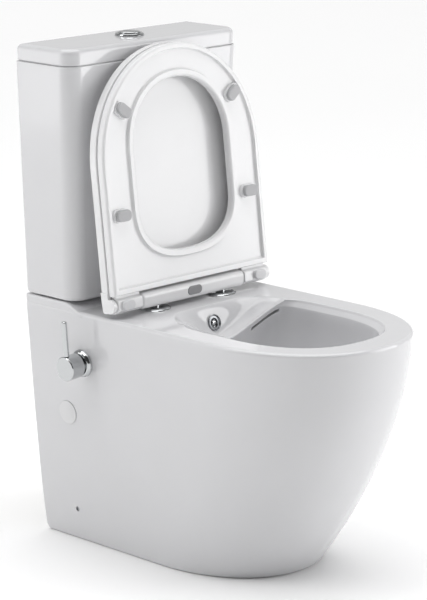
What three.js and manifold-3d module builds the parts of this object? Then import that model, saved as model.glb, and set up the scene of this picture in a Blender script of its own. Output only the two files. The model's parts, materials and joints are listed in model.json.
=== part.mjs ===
// A close-coupled toilet with a built-in bidet jet: glazed pan, cistern and lid, soft-close seat, dual flush
// and a side mixer. Millimetres, +Z up, front towards -Y, mixer on the -X side. Inside the model the wall
// plane is y = 0; the whole group then moves so that the origin is the middle of the pan's rear foot.
import * as THREE from "three";
import { mergeVertices } from "three/addons/utils/BufferGeometryUtils.js";
import Module from "manifold-3d";

const wasm = await Module();
wasm.setup();

// ---- Driving dimensions ----
const GAP = 0.3; // between pieces that touch
const WALL = 13; // thickness of the pan's ceramic

const RIM_Z = 400;
const FLOOR_HALF = 139.5; // half width of the pan at the floor, and what it gains up to the rim
const HALF_GAIN = 38;
const FLOOR_LENGTH = 448; // wall to nose at the floor, and what it gains up to the rim
const LENGTH_GAIN = 174;
const NOSE_POWER = 2.12; // roundness of the nose in plan
const DECK_UNDER = 386;

const PLATFORM_Z = 411; // shelf that carries the cistern
const PLATFORM_BACK_END = 90; // the shelf's front slope runs between these distances from the wall
const PLATFORM_FRONT_END = 132;

const BOWL_WIDEST = 0.42; // share of the bowl's length, from the back, where it is widest
const SCOOP_BACK = 238; // the dished landing behind the bowl, with the jet in its back wall
const SCOOP_FLOOR_AT = 264;
const SCOOP_END = 302;
const SCOOP_DEPTH = 46;
const SCOOP_HALF = 74;
const SCOOP_HALF_GAIN = 48;
const SCOOP_POWER = 1.25;
const SCOOP_KNEE = 0.06; // softness of the landing's outer edge

const TRAP_RADIUS = 33;
const TRAP_OUTLET_Z = 180;
const DUCT_RADIUS = 22;

const FOOT_DEPTH = 30; // rear foot, and the origin is at its middle
const FOOT_HEIGHT = 28;

const CISTERN_Z = 413;
const SEAM_Z = 794.5;
const TOP_Z = 820.5;
const CISTERN_WALL = 9;
const CISTERN_FLOOR_Z = 423;
const CISTERN_HALF = 178.5; // at its foot, and what it gains up to the seam
const CISTERN_HALF_GAIN = 13.5;
const CISTERN_DEPTH = 116.2;
const CISTERN_DEPTH_GAIN = 12.3;
const CISTERN_CORNER = 28;
const SEAM_GAP = 1.5; // height of the shadow line under the lid, and how far it goes in
const SEAM_DEPTH = 4.5;
const LID_INSET = 2; // the lid stands back this far from the cistern's sides

const FLUSH = { x: 0, d: 60 }; // flush valve and outlet, d is the distance from the wall
const BUTTON_D = 63;
const COUPLING = { x: 78, d: 60 };
const FILL = { x: -128, d: 58 };

const HINGE_D = 197;
const HINGE_Z = 420;
const RAISED_DEG = 96.5; // the seat's angle from closed as it stands
const BAR_HALF = 115.7;
const LUG = { from: 116.4, to: 168.5 };
const EAR = { from: 169.1, to: 177 };
const KNUCKLE = 13.4; // radius of the ring's barrels round the hinge line, and of the lid's ears
const EAR_RADIUS = 11.5;
const SEAT_UNDER = -13.6; // heights of the closed seat's faces over the hinge line
const RING_TOP = 1;
const LID_UNDER = 2;
const LID_INSIDE = 14.6;
const LID_TOP = 19;
const SEAT_REAR = 16.2; // distances forward of the hinge line
const SEAT_TIP = 399;
const SEAT_STRAIGHT = 215;
const SEAT_HALF = 174.5;
const DAMPER_RADIUS = 5;

const POST = { x: 75, d: 194 }; // seat fixing posts

const JET = { d: 256, z: 373.5, tilt: 15 }; // tilt of the jet's axis over the horizontal, degrees
const MIXER = { d: 127, z: 315.3 };
const BLANK = { d: 81.5, z: 223 };
const SIDE_FIXING = { d: 83, z: 54.5 };

const ROUND = 18; // sides of an ordinary turned piece, and of one that shows
const ROUND_SHOWN = 24;

// ---- Finishes ----
const finish = (color, roughness, metalness = 0) =>
  new THREE.MeshStandardMaterial({ color, roughness, metalness });
const glaze = () => finish(0xf1f1f2, 0.12);
const seatPlastic = () => finish(0xf4f4f5, 0.22);
const greyRubber = () => finish(0xb2b2b4, 0.6);
const blackRubber = () => finish(0x2a2a2c, 0.75);
const whitePlastic = () => finish(0xe6e6e4, 0.45);
const bluePlastic = () => finish(0x9fb4c8, 0.45);
const chrome = () => finish(0xd9dadc, 0.08, 1);
const brass = () => finish(0xb99a5a, 0.3, 1);
const steel = () => finish(0xa9abae, 0.35, 1);
const braid = () => finish(0x9c9ea2, 0.4, 1);

// ---- Solids ----
function solid(geometry) {
  const bare = geometry.clone();
  bare.deleteAttribute("normal");
  bare.deleteAttribute("uv");
  const merged = mergeVertices(bare, 1e-3);
  const corners = [];
  const index = merged.index.array;
  for (let i = 0; i < index.length; i += 3) {
    const [a, b, c] = [index[i], index[i + 1], index[i + 2]];
    if (a !== b && b !== c && c !== a) corners.push([a, b, c]);
  }
  const build = (faces) =>
    new wasm.Manifold(
      new wasm.Mesh({
        numProp: 3,
        vertProperties: new Float32Array(merged.attributes.position.array),
        triVerts: new Uint32Array(faces.flat()),
      }),
    );
  const made = build(corners);
  return made.volume() > 0 ? made : build(corners.map(([a, b, c]) => [a, c, b]));
}

const join = (...parts) => parts.reduce((whole, part) => whole.add(part));
const cut = (whole, ...tools) => tools.reduce((left, tool) => left.subtract(tool), whole);

function geometryOf(made) {
  const mesh = made.getMesh();
  const geometry = new THREE.BufferGeometry();
  const places = [];
  for (let i = 0; i < mesh.vertProperties.length; i += mesh.numProp)
    places.push(...mesh.vertProperties.slice(i, i + 3));
  geometry.setAttribute("position", new THREE.Float32BufferAttribute(places, 3));
  geometry.setIndex([...mesh.triVerts]);
  const flat = geometry.toNonIndexed();
  flat.computeVertexNormals();
  return flat;
}

function piece(name, made, material) {
  const mesh = new THREE.Mesh(geometryOf(made), material);
  mesh.name = name;
  return mesh;
}

const moved = (geometry, x, y, z) => geometry.clone().translate(x, y, z);
const sgnPower = (value, power) => Math.sign(value) * Math.abs(value) ** power;
const mix = (a, b, share) => a + (b - a) * share;
const smooth = (share) => share * share * (3 - 2 * share);
const clamp01 = (value) => Math.min(1, Math.max(0, value));

// A closed skin over sections with the same number of points; each end is closed by a fan about its middle.
function loft(sections) {
  const count = sections[0].length;
  const places = sections.flat();
  const faces = [];
  sections.slice(1).forEach((_, s) => {
    for (let i = 0; i < count; i++) {
      const [a, b] = [s * count + i, s * count + ((i + 1) % count)];
      faces.push(a, b, b + count, a, b + count, a + count);
    }
  });
  [0, sections.length - 1].forEach((s) => {
    const middle = [0, 1, 2].map((axis) => sections[s].reduce((sum, p) => sum + p[axis], 0) / count);
    const centre = places.push(middle) - 1;
    for (let i = 0; i < count; i++) {
      const [a, b] = [s * count + i, s * count + ((i + 1) % count)];
      faces.push(...(s === 0 ? [centre, b, a] : [centre, a, b]));
    }
  });
  const geometry = new THREE.BufferGeometry();
  geometry.setAttribute("position", new THREE.Float32BufferAttribute(places.flat(), 3));
  geometry.setIndex(faces);
  return solid(geometry);
}

const level = (outline, z) => outline.map(([x, y]) => [x, y, z]);

// A turned piece about Z from [radius, height] points, from the axis round and back to it.
function turned(profile, sides = ROUND) {
  const points = profile.map(([r, h]) => new THREE.Vector2(r, h));
  return new THREE.LatheGeometry(points, sides).rotateX(Math.PI / 2);
}

const rod = (radius, from, to, sides = ROUND) =>
  turned([[0, from], [radius, from], [radius, to], [0, to]], sides);

const sleeve = (outer, inner, from, to, sides = ROUND) =>
  turned([[inner, from], [outer, from], [outer, to], [inner, to], [inner, from]], sides);

// A nut or threaded collar with flats outside and a round bore.
const nut = (outer, bore, from, to, sides) =>
  cut(solid(rod(outer, from, to, sides)), solid(rod(bore, from - 1, to + 1)));

const block = (x0, x1, y0, y1, z0, z1) =>
  new THREE.BoxGeometry(x1 - x0, y1 - y0, z1 - z0).translate((x0 + x1) / 2, (y0 + y1) / 2, (z0 + z1) / 2);

function tube(points, radius, steps, sides = 12) {
  const shape = new THREE.Shape();
  shape.absarc(0, 0, radius, 0, 2 * Math.PI);
  const path = new THREE.CatmullRomCurve3(points.map((p) => new THREE.Vector3(...p)));
  return new THREE.ExtrudeGeometry(shape, { steps, curveSegments: sides / 2, extrudePath: path });
}

function roundedShape(width, height, radius) {
  const [x, y] = [width / 2, height / 2];
  const shape = new THREE.Shape();
  shape.absarc(x - radius, y - radius, radius, 0, Math.PI / 2);
  shape.absarc(radius - x, y - radius, radius, Math.PI / 2, Math.PI);
  shape.absarc(radius - x, radius - y, radius, Math.PI, 1.5 * Math.PI);
  shape.absarc(x - radius, radius - y, radius, 1.5 * Math.PI, 2 * Math.PI);
  return shape;
}

const prism = (shape, depth, bevel = 0, curveSegments = 2) =>
  new THREE.ExtrudeGeometry(shape, {
    depth: depth - 2 * bevel,
    bevelEnabled: bevel > 0,
    bevelThickness: bevel,
    bevelSize: bevel,
    bevelOffset: -bevel,
    bevelSegments: 1,
    curveSegments,
  }).translate(0, 0, bevel);

// ---- Pan ----
const halfWidth = (z) => FLOOR_HALF + HALF_GAIN * (Math.max(z, 0) / RIM_Z) ** 0.72;
const panLength = (z) => FLOOR_LENGTH + LENGTH_GAIN * (1 - Math.max(1 - z / RIM_Z, 0) ** 1.76);
const noseDepth = (z) => mix(178, 215, clamp01(z / RIM_Z));

function panOutline(z, inset, backY, steps) {
  const half = halfWidth(z) - inset;
  const nose = noseDepth(z);
  const start = panLength(z) - inset - nose;
  const points = [[-half, backY]];
  for (let i = 0; i <= steps; i++) {
    const turn = (Math.PI * i) / steps;
    const x = -half * sgnPower(Math.cos(turn), 2 / NOSE_POWER);
    points.push([x, -start - nose * Math.sin(turn) ** (2 / NOSE_POWER)]);
  }
  points.push([half, backY]);
  return points;
}

function panOuter() {
  const edges = [
    { z: 0, inset: 3, back: -5 },
    { z: 3, inset: 0.7, back: -1.5 },
    { z: 8, inset: 0, back: 0 },
  ];
  const walls = [55, 115, 185, 260, 330, 392].map((z) => ({ z, inset: 0, back: 0 }));
  const rim = [
    { z: 397.4, inset: 1.2, back: 0 },
    { z: 399.4, inset: 3.4, back: 0 },
    { z: RIM_Z, inset: 6, back: 0 },
  ];
  return loft([...edges, ...walls, ...rim].map((e) => level(panOutline(e.z, e.inset, e.back, 22), e.z)));
}

function panVoid() {
  const levels = [-1, 60, 140, 250, DECK_UNDER];
  return loft(levels.map((z) => level(panOutline(Math.max(z, 0), WALL, 2, 12), z)));
}

function platform() {
  const stations = [0, PLATFORM_BACK_END];
  for (let i = 1; i <= 6; i++) stations.push(mix(PLATFORM_BACK_END, PLATFORM_FRONT_END, i / 6));
  return loft(
    stations.map((d) => {
      const fall = smooth(clamp01((d - PLATFORM_BACK_END) / (PLATFORM_FRONT_END - PLATFORM_BACK_END)));
      const top = mix(PLATFORM_Z, RIM_Z - 2, fall);
      const half = halfWidth(RIM_Z);
      const right = [[half - 2, DECK_UNDER + 4], [half, top - 6], [half - 1.5, top - 2], [half - 6, top]];
      const left = right.map(([x, z]) => [-x, z]).reverse();
      return [...right, ...left].map(([x, z]) => [x, -d, z]);
    }),
  );
}

// The bowl from its sump to its rim: half width, distances of its front and back from the wall, and how
// square its back end is.
const BOWL = [
  { z: 88, half: 34, front: 385, rear: 306, square: 2.4 },
  { z: 120, half: 44, front: 405, rear: 298, square: 2.4 },
  { z: 170, half: 62, front: 440, rear: 294, square: 2.6 },
  { z: 230, half: 86, front: 488, rear: 290, square: 3 },
  { z: 290, half: 105, front: 526, rear: 288, square: 3.8 },
  { z: 345, half: 117, front: 552, rear: 288, square: 5 },
  { z: 386, half: 121, front: 562, rear: 290, square: 6 },
  { z: 391, half: 123, front: 564, rear: 291, square: 6 },
  { z: 396.5, half: 128, front: 569, rear: 292, square: 6 },
  { z: 400.5, half: 134.5, front: 576, rear: 292, square: 6 },
];

function oval({ half, front, rear, square }, grow, steps) {
  const middle = mix(rear, front, BOWL_WIDEST);
  return Array.from({ length: steps }, (_, i) => {
    const turn = (2 * Math.PI * i) / steps;
    const ahead = Math.sin(turn) < 0;
    const power = ahead ? 2.4 : square;
    const reach = (ahead ? front - middle : middle - rear) + grow;
    return [
      (half + grow) * sgnPower(Math.cos(turn), 2 / power),
      -middle + reach * sgnPower(Math.sin(turn), 2 / power),
    ];
  });
}

const bowlHollow = () => loft(BOWL.map((b) => level(oval(b, 0, 32), b.z)));

function bowlShell() {
  const sides = BOWL.filter((b) => b.z < DECK_UNDER && b.z !== 120);
  const sections = sides.map((b) => level(oval(b, WALL, 20), b.z - WALL * (1 - b.z / RIM_Z)));
  const last = BOWL.find((b) => b.z >= DECK_UNDER);
  return loft([...sections, level(oval(last, WALL, 20), DECK_UNDER + 6)]);
}

function scoopFloor(x, d) {
  const run = clamp01((d - SCOOP_BACK) / (SCOOP_FLOOR_AT - SCOOP_BACK));
  const out = clamp01((d - SCOOP_BACK) / (SCOOP_END - 10 - SCOOP_BACK));
  const half = SCOOP_HALF + SCOOP_HALF_GAIN * out ** 0.8;
  const fall = 1 - Math.min(Math.abs(x) / half, 1) ** SCOOP_POWER;
  const eased = (fall ** 2 * (1 + SCOOP_KNEE)) / (fall + SCOOP_KNEE);
  return { half, z: RIM_Z - SCOOP_DEPTH * smooth(run) * eased };
}

function scoop(grow) {
  const stations = [SCOOP_BACK, 244, 249, 254, 259, SCOOP_FLOOR_AT, 280, SCOOP_END];
  const top = grow > 0 ? DECK_UNDER + 5 : RIM_Z + 2;
  return loft(
    stations.map((d) => {
      const half = scoopFloor(0, d).half;
      const points = [];
      for (let i = -6; i <= 6; i++) {
        const x = (half * i) / 6;
        points.push([x * (1 + grow / half), -(d - grow), scoopFloor(x, d).z - grow]);
      }
      points.push([half + grow, -(d - grow), top], [-half - grow, -(d - grow), top]);
      return points;
    }),
  );
}

// Flush water rises between two distances from the wall and leaves each side by a low mouth under the lip.
function flushSlot(side, back, front, height) {
  const sections = [50, 62, 76, 90, 104].map((x) => {
    const top = scoopFloor(x, 286).z - 9;
    const low = Math.max(316, top - height);
    return [[side * x, -back, low], [side * x, -front, low], [side * x, -front, top], [side * x, -back, top]];
  });
  return loft(side > 0 ? sections : sections.reverse());
}

const TRAP_PATH = [
  [0, -350, 112], [0, -290, 126], [0, -238, 178], [0, -192, 224],
  [0, -142, 222], [0, -92, 190], [0, -50, TRAP_OUTLET_Z], [0, -12, TRAP_OUTLET_Z],
];
const DUCT_PATH = [
  [0, -FLUSH.d, 398], [0, -FLUSH.d, 372], [0, -76, 342], [0, -115, 322], [0, -165, 313], [0, -215, 312],
  [0, -262, 318],
];

// A frame on the pan's left wall whose +Z points straight out of the ceramic.
function onWall(d, z) {
  const slope = (halfWidth(z + 5) - halfWidth(z - 5)) / 10;
  const frame = new THREE.Group();
  frame.position.set(-halfWidth(z), -d, z);
  frame.rotation.set(0, -Math.PI / 2 - Math.atan(slope), 0);
  frame.updateMatrixWorld(true);
  return frame;
}

function onJet() {
  const frame = new THREE.Group();
  frame.position.set(0, -JET.d, JET.z);
  frame.rotation.set(Math.PI / 2 - THREE.MathUtils.degToRad(JET.tilt), 0, 0);
  frame.updateMatrixWorld(true);
  return frame;
}

const placed = (geometry, frame) => geometry.clone().applyMatrix4(frame.matrix);

function makePan() {
  const body = join(
    cut(panOuter(), panVoid()),
    cut(platform(), solid(block(-160, 160, -90, 4, DECK_UNDER - 2, DECK_UNDER))),
    bowlShell(),
    scoop(WALL),
    solid(block(-114, 114, -292, -247, 295, 350)),
    solid(tube(TRAP_PATH, TRAP_RADIUS + 12, 13)),
    solid(tube(DUCT_PATH, DUCT_RADIUS + 10, 9)),
    solid(block(-132, 132, -FOOT_DEPTH, 0, 0, FOOT_HEIGHT)),
  );
  const trapEnd = solid(block(-60, 60, -13, 5, 120, 240));
  const trapBore = solid(tube([...TRAP_PATH.slice(0, -1), [0, 4, TRAP_OUTLET_Z]], TRAP_RADIUS, 14));
  const ductBore = solid(tube([[0, -FLUSH.d, 430], ...DUCT_PATH], DUCT_RADIUS, 10));
  const holes = [
    solid(moved(rod(55, 401, 415, 36), 0, -FLUSH.d, 0)),
    solid(moved(rod(21, 380, 415), FILL.x, -FILL.d, 0)),
    ...[-1, 1].map((side) => solid(moved(rod(7, 380, 415, 16), side * COUPLING.x, -COUPLING.d, 0))),
    ...[-1, 1].map((side) => solid(moved(rod(7, 380, 405, 16), side * POST.x, -POST.d, 0))),
    ...[-1, 1].map((side) =>
      solid(
        moved(rod(4.5, -20, 20, 16).rotateY(Math.PI / 2), side * 142, -SIDE_FIXING.d, SIDE_FIXING.z),
      ),
    ),
    solid(placed(rod(17.5, -24, 12), onWall(MIXER.d, MIXER.z))),
    solid(placed(rod(17, -24, 12), onWall(BLANK.d, BLANK.z))),
    solid(placed(rod(8.6, -40, 10, 20), onJet())),
    solid(placed(rod(14, -2.6, 22), onJet())),
    solid(placed(rod(14.5, -60, -16), onJet())),
  ];
  const chamber = solid(block(-104, 104, -279, -258, 304, 336));
  return cut(
    cut(body, trapEnd),
    bowlHollow(),
    scoop(0),
    chamber,
    ...[-1, 1].map((side) => flushSlot(side, 262, 279, 90)),
    ...[-1, 1].map((side) => flushSlot(side, 275, 300, 9)),
    trapBore,
    ductBore,
    ...holes,
  );
}

// ---- Cistern and its lid ----
function cisternOutline(z, inset) {
  const share = (z - PLATFORM_Z) / (SEAM_Z - PLATFORM_Z);
  const half = CISTERN_HALF + CISTERN_HALF_GAIN * share - inset;
  const front = CISTERN_DEPTH + CISTERN_DEPTH_GAIN * share - inset;
  const back = 1 + inset;
  const radius = Math.max(CISTERN_CORNER - inset, 6);
  const small = Math.max(6 - inset, 1.5);
  const corner = (x, d, r, from, steps) =>
    Array.from({ length: steps + 1 }, (_, i) => {
      const turn = from + ((Math.PI / 2) * i) / steps;
      return [x + r * Math.cos(turn), -d + r * Math.sin(turn)];
    });
  return [
    ...corner(half - small, back + small, small, 0, 2),
    ...corner(small - half, back + small, small, Math.PI / 2, 2),
    ...corner(radius - half, front - radius, radius, Math.PI, 5),
    ...corner(half - radius, front - radius, radius, 1.5 * Math.PI, 5),
  ];
}

function makeCistern() {
  const outside = [
    { z: CISTERN_Z, inset: 5 },
    { z: 415, inset: 2 },
    { z: 418, inset: 0.6 },
    { z: 421, inset: 0 },
    { z: SEAM_Z - SEAM_GAP - 2, inset: 0 },
    { z: SEAM_Z - SEAM_GAP, inset: 1.2 },
    { z: SEAM_Z - SEAM_GAP, inset: SEAM_DEPTH },
    { z: SEAM_Z - GAP, inset: SEAM_DEPTH },
  ];
  const inside = [
    { z: CISTERN_FLOOR_Z, inset: CISTERN_WALL + 3 },
    { z: CISTERN_FLOOR_Z + 6, inset: CISTERN_WALL },
    { z: SEAM_Z + 1, inset: CISTERN_WALL },
  ];
  const tub = (levels) => loft(levels.map((e) => level(cisternOutline(e.z, e.inset), e.z)));
  return cut(
    tub(outside),
    tub(inside),
    solid(moved(rod(31.5, 405, 430, 32), FLUSH.x, -FLUSH.d, 0)),
    solid(moved(rod(11, 405, 430, 20), FILL.x, -FILL.d, 0)),
    ...[-1, 1].map((side) => solid(moved(rod(6, 405, 430, 16), side * COUPLING.x, -COUPLING.d, 0))),
  );
}

function makeCisternLid() {
  const outside = [
    { z: SEAM_Z, inset: LID_INSET + 0.6 },
    { z: SEAM_Z + 1, inset: LID_INSET },
    { z: TOP_Z - 9, inset: LID_INSET },
    { z: TOP_Z - 4.5, inset: LID_INSET + 1.2 },
    { z: TOP_Z - 1.4, inset: LID_INSET + 4.2 },
    { z: TOP_Z, inset: LID_INSET + 9 },
  ];
  const cap = loft(outside.map((e) => level(cisternOutline(SEAM_Z, e.inset), e.z)));
  const lip = loft([SEAM_Z - 9, SEAM_Z + 4].map((z) => level(cisternOutline(SEAM_Z, CISTERN_WALL + 2), z)));
  const hollow = cisternOutline(SEAM_Z, CISTERN_WALL + 8);
  const inside = loft([SEAM_Z - 10, TOP_Z - 9].map((z) => level(hollow, z)));
  return cut(join(cap, lip), inside, solid(moved(rod(20.5, 780, 830, 32), 0, -BUTTON_D, 0)));
}

// ---- Seat, in its own closed position: x across, s forward of the hinge line, n over it ----
function seatOutline(grow, steps) {
  const half = SEAT_HALF + grow;
  const reach = SEAT_TIP + grow - SEAT_STRAIGHT;
  const points = [[-half, SEAT_REAR]];
  for (let i = 0; i <= steps; i++) {
    const turn = (Math.PI * i) / steps;
    const x = -half * sgnPower(Math.cos(turn), 2 / 2.05);
    points.push([x, SEAT_STRAIGHT + reach * Math.sin(turn) ** (2 / 2.05)]);
  }
  points.push([half, SEAT_REAR]);
  return points;
}

function openingOutline(grow, steps) {
  return Array.from({ length: steps }, (_, i) => {
    const turn = (2 * Math.PI * i) / steps;
    const ahead = Math.sin(turn) > 0;
    const power = ahead ? 2.1 : 2.5;
    const middle = ahead ? 238 : 152;
    const reach = (ahead ? 107 : 83) + grow;
    const x = (105 + grow) * sgnPower(Math.cos(turn), 2 / power);
    return [x, middle + reach * sgnPower(Math.sin(turn), 2 / power)];
  });
}

const seatLevel = (outline, n) => outline.map(([x, s]) => [x, -s, n]);

function knuckle(from, to, radius) {
  return rod(radius, from, to, 16).rotateY(Math.PI / 2);
}

const dampers = (from, to) =>
  [-1, 1].map((side) => {
    const [a, b] = side > 0 ? [from, to] : [-to, -from];
    return solid(knuckle(a, b, DAMPER_RADIUS + 0.35));
  });

const mirrored = (make) => [-1, 1].map((side) => make(side));
const spanBlock = (side, from, to, s0, s1, n0, n1) =>
  side > 0 ? block(from, to, -s1, -s0, n0, n1) : block(-to, -from, -s1, -s0, n0, n1);

function makeRing() {
  const plate = loft([
    seatLevel(seatOutline(-3.5, 24), SEAT_UNDER),
    seatLevel(seatOutline(-0.8, 24), SEAT_UNDER + 2.5),
    seatLevel(seatOutline(0, 24), SEAT_UNDER + 6),
    seatLevel(seatOutline(0, 24), RING_TOP - 2.5),
    seatLevel(seatOutline(-2.5, 24), RING_TOP),
  ]);
  const opening = loft([
    seatLevel(openingOutline(3.5, 28), SEAT_UNDER - 1),
    seatLevel(openingOutline(0.6, 28), SEAT_UNDER + 2.5),
    seatLevel(openingOutline(0, 28), RING_TOP - 4),
    seatLevel(openingOutline(4, 28), RING_TOP + 0.5),
  ]);
  const lugs = mirrored((side) =>
    join(
      solid(side > 0 ? knuckle(LUG.from, LUG.to, KNUCKLE) : knuckle(-LUG.to, -LUG.from, KNUCKLE)),
      solid(spanBlock(side, LUG.from, LUG.to, -8, 8, -KNUCKLE, -9)),
      solid(spanBlock(side, LUG.from, LUG.to, 0, SEAT_REAR + 6, -7, RING_TOP - 0.4)),
    ),
  );
  return cut(join(cut(plate, opening), ...lugs), ...dampers(LUG.from - 2, LUG.to + 2));
}

function makeSeatLid() {
  const shell = loft([
    seatLevel(seatOutline(0.5, 24), LID_UNDER),
    seatLevel(seatOutline(1.5, 24), LID_UNDER + 4),
    seatLevel(seatOutline(1.5, 24), LID_TOP - 5),
    seatLevel(seatOutline(-0.5, 24), LID_TOP - 1.5),
    seatLevel(seatOutline(-4, 24), LID_TOP),
  ]);
  const rearWall = SEAT_REAR + 5;
  const inner = (inset) => seatOutline(inset, 18).map(([x, s]) => [x, Math.max(s, rearWall)]);
  const inside = loft([
    seatLevel(inner(-4.5), LID_UNDER - 1),
    seatLevel(inner(-4.5), LID_INSIDE - 3),
    seatLevel(inner(-7), LID_INSIDE),
  ]);
  const ears = mirrored((side) =>
    join(
      solid(side > 0 ? knuckle(EAR.from, EAR.to, EAR_RADIUS) : knuckle(-EAR.to, -EAR.from, EAR_RADIUS)),
      solid(spanBlock(side, EAR.from, EAR.to, -EAR_RADIUS, 15, 0, LID_TOP - 3)),
      solid(spanBlock(side, EAR.from, EAR.to, -9, SEAT_REAR + 6, LID_UNDER + 0.2, LID_TOP - 1)),
    ),
  );
  return cut(join(cut(shell, inside), ...ears), ...dampers(EAR.from - 2, EAR.to - 2.5));
}

function makeBuffer(x, s, degrees) {
  const shape = roundedShape(30, 18, 8);
  return prism(shape, 6 - GAP, 1.2)
    .rotateZ(THREE.MathUtils.degToRad(degrees))
    .translate(x, -s, SEAT_UNDER - 6);
}

const makeLugPad = (side) =>
  prism(roundedShape(26, 15, 7), 5.4 - GAP, 1).translate(side * 149.5, 0, -KNUCKLE - 5.4);

function makeHingeBar() {
  const bar = prism(roundedShape(27, 27, 9), 2 * BAR_HALF, 5)
    .rotateZ(Math.PI / 2)
    .rotateY(Math.PI / 2)
    .translate(-BAR_HALF, 0, 0);
  const pocket = prism(roundedShape(31.8, 14.8, 6.9), 12).rotateX(Math.PI / 2).translate(0, -5, 0.5);
  const sockets = mirrored((side) =>
    solid(moved(rod(8.4, -20, -3, 20), side * POST.x, HINGE_D - POST.d, 0)),
  );
  return cut(solid(bar), solid(pocket), ...sockets, ...dampers(BAR_HALF - 30, BAR_HALF + 2));
}

const makeReleaseButton = () =>
  prism(roundedShape(31, 14, 6.5), 7, 0.8).rotateX(Math.PI / 2).translate(0, -7.6, 0.5);

// ---- Seat posts ----
const makeDisc = () => {
  const profile = [
    [0, 10.6], [0, 16], [8, 16], [8, 3.6], [22, 3.2], [25, 1.8], [26, 0], [4.6, 0], [4.6, 10.6], [0, 10.6],
  ];
  return turned(profile, ROUND_SHOWN);
};

function makeWingNut(bore, height) {
  const body = turned([[bore, 0], [9, 0], [7.5, height], [bore, height], [bore, 0]], 18);
  const wings = prism(roundedShape(36, 3.4, 1.6), height * 0.8, 0, 1);
  return cut(join(solid(body), solid(wings)), solid(rod(bore, -1, height + 1, 18)));
}

// ---- Dual flush button ----
const makeBezel = () =>
  turned(
    [
      [17.8, 788], [19.2, 788], [19.2, 820.8], [23.6, 820.8], [24, 821.6], [23, 823.8], [21, 824.6],
      [18.4, 824], [17.8, 822.6], [17.8, 788],
    ],
    ROUND_SHOWN,
  );

function makeHalfButton(side) {
  const shape = new THREE.Shape();
  const start = Math.asin(0.5 / 17.3);
  shape.absarc(0, 0, 17.3, side > 0 ? -Math.PI / 2 + start : Math.PI / 2 + start,
    side > 0 ? Math.PI / 2 - start : 1.5 * Math.PI - start);
  return prism(shape, 9, 0.9, 8).translate(0, 0, 818);
}

const makePushRod = (side) => rod(2.5, 697.5, 817.7, 10).translate(side * 9, 0, 0);

// ---- Flush valve ----
function makeFlushBody() {
  const tower = turned(
    [
      [22, 403.5], [29.5, 403.5], [29.5, 423.4], [43, 423.4], [43, 428], [35, 430], [35, 560], [24, 566],
      [24, 700], [15, 700], [15, 694], [20, 694], [20, 568], [31, 558], [31, 429.5], [22, 429.5], [22, 403.5],
    ],
    16,
  );
  const topPlate = sleeve(22, 3.6, 694.5, 699.5, 16);
  const windows = [0, 1, 2, 3].map((i) => solid(block(-12, 12, 0, 60, 440, 540).rotateZ((i * Math.PI) / 2)));
  const slots = [0, 1].map((i) => solid(block(-7, 7, 0, 60, 590, 670).rotateZ(Math.PI * i + Math.PI / 2)));
  const sockets = mirrored((side) => solid(moved(rod(3.6, 690, 705, 14), side * 9, 0, 0)));
  return cut(join(solid(tower), solid(topPlate)), ...windows, ...slots, ...sockets);
}

const makeFlushLift = () =>
  turned(
    [
      [10, 430], [27, 430], [27, 434.5], [16, 439], [13, 446], [13, 676], [10.5, 676], [10.5, 440], [10, 430],
    ],
    16,
  );

// ---- Fill valve ----
const makeFillTower = () =>
  turned(
    [
      [5, 368], [9.8, 368], [9.8, 423.4], [17, 423.4], [17, 428], [14, 430], [14, 548], [17, 550],
      [17, 553], [14, 555], [14, 698], [21, 701], [21, 726], [17, 731], [0, 731], [0, 690], [5, 690],
      [5, 368],
    ],
    16,
  );

const makeFillFloat = () =>
  turned(
    [
      [14.8, 555.6], [29, 555.6], [30, 558], [30, 612], [28.5, 614], [14.8, 614], [14.8, 555.6],
    ],
    ROUND,
  );

// ---- Side mixer, along the wall's outward +Z ----
const makeMixerFlange = () =>
  turned(
    [
      [16.5, 0.6], [22.6, 0.6], [23, 1.6], [22.4, 4.4], [20.2, 7.4], [18, 8.6], [16.5, 8.6], [16.5, 0.6],
    ],
    ROUND_SHOWN,
  );

const makeMixerBody = () =>
  turned(
    [
      [0, -46], [11, -46], [11, -40], [15.5, -38], [15.5, -16], [15.8, 0], [15.8, 12.5], [12, 12.5],
      [12, 20], [0, 20],
    ],
    ROUND,
  );

const makeMixerHandle = () =>
  turned(
    [
      [0, 20.4], [12.6, 20.4], [12.6, 13], [18.6, 13], [20, 14.4], [20, 38], [19, 39.4], [0, 39.6],
    ],
    ROUND_SHOWN,
  );

const makeBackNut = () => nut(22, 15.9, -24, -WALL - 1.2, 6);

// The jet's feed hose runs from the mixer's inner end to the jet's shank under the deck.
const HOSE_PATH = [
  [-125, -MIXER.d, 318.7], [-108, -MIXER.d, 319.9], [-78, -141, 330], [-50, -160, 344], [-24, -177, 353],
  [-5, -192, 357.6], [0, -203, 359.8], [0, -212.7, 362.3],
];

// ---- Assembly ----
const toilet = new THREE.Group();
toilet.position.y = FOOT_DEPTH / 2;

const ceramics = new THREE.Group();
ceramics.add(
  piece("pan", makePan(), glaze()),
  piece("cistern", makeCistern(), glaze()),
  piece("cistern_lid", makeCisternLid(), glaze()),
);

const seat = new THREE.Group();
seat.position.set(0, -HINGE_D, HINGE_Z);
seat.rotation.x = -THREE.MathUtils.degToRad(RAISED_DEG);
seat.add(
  piece("seat_ring", makeRing(), seatPlastic()),
  piece("seat_lid", makeSeatLid(), seatPlastic()),
);
const sides = [
  { side: -1, word: "left" },
  { side: 1, word: "right" },
];
for (const { side, word } of sides) {
  seat.add(
    piece(`seat_buffer_front_${word}`, solid(makeBuffer(side * 122.5, 305, -side * 38)), greyRubber()),
    piece(`seat_buffer_rear_${word}`, solid(makeBuffer(side * 143, 141, 0)), greyRubber()),
    piece(`lug_pad_${word}`, solid(makeLugPad(side)), greyRubber()),
  );
}

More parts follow.
